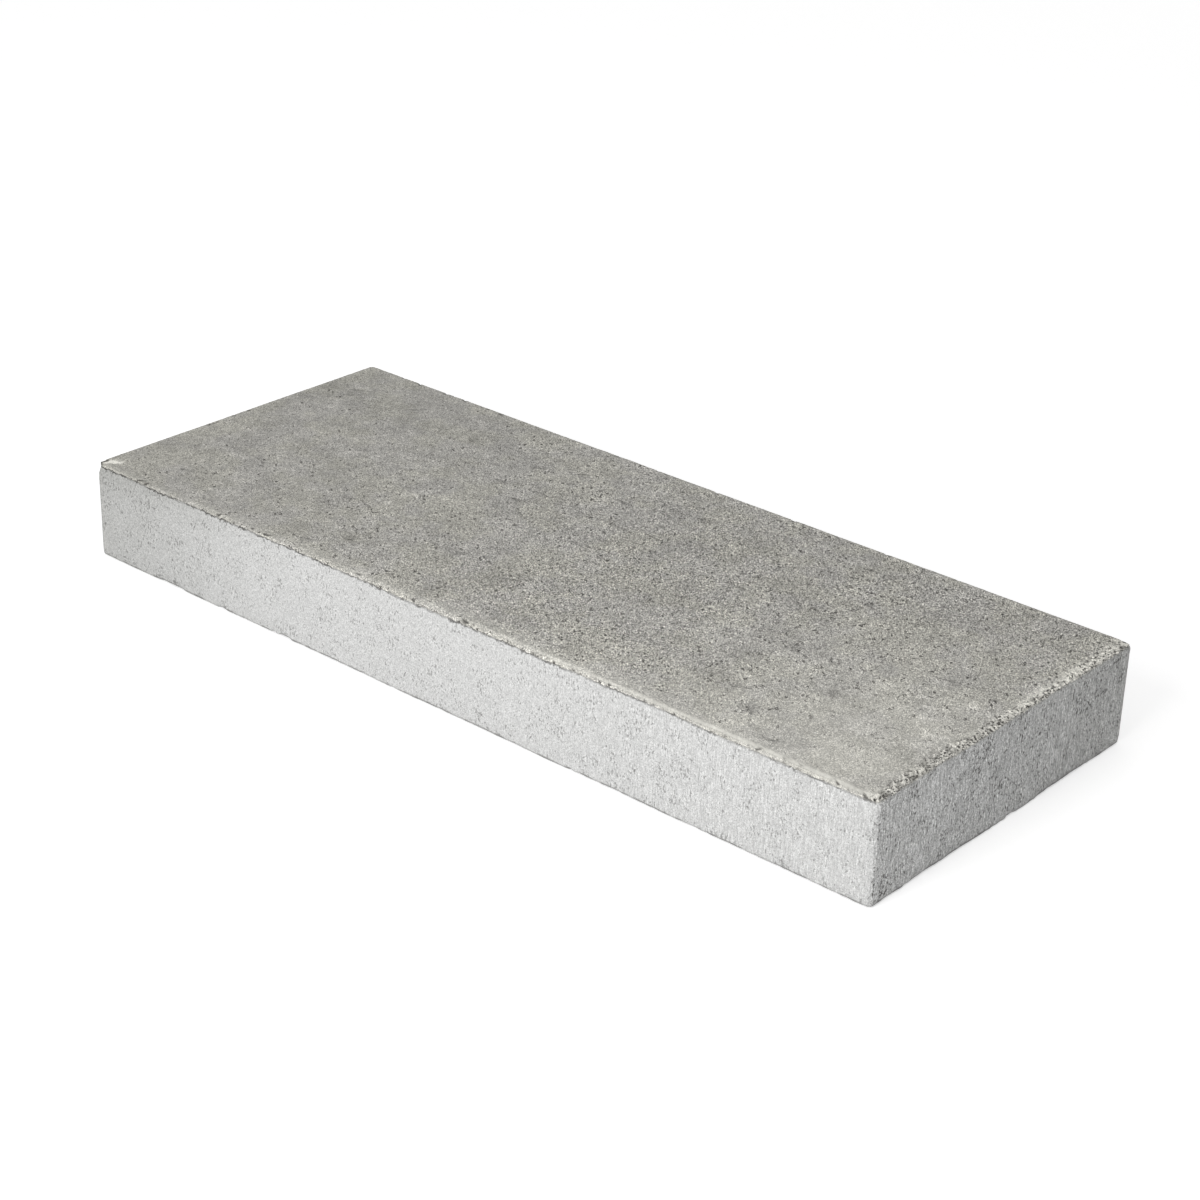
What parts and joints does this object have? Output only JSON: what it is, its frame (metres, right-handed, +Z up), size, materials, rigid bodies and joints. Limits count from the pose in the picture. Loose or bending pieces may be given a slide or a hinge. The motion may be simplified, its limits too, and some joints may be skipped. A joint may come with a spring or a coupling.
{
  "type": "wall coping cap",
  "caption": "Flat rectangular coping slab of pressed grey concrete, laid along the top of a wall, with upright sides, eased corners and a low pressed rim.",
  "frame": {"origin": "middle of the underside, the face that is bedded on the wall", "axes": "+X along the wall, +Y across the wall, +Z up out of the top face"},
  "size_m": [0.6, 0.24, 0.063],
  "materials": {
    "concrete": "matt, fine sandy grain with small open pores"
  },
  "bodies": {
    "root": {"coping_cap": "concrete"}
  },
  "joints": []
}
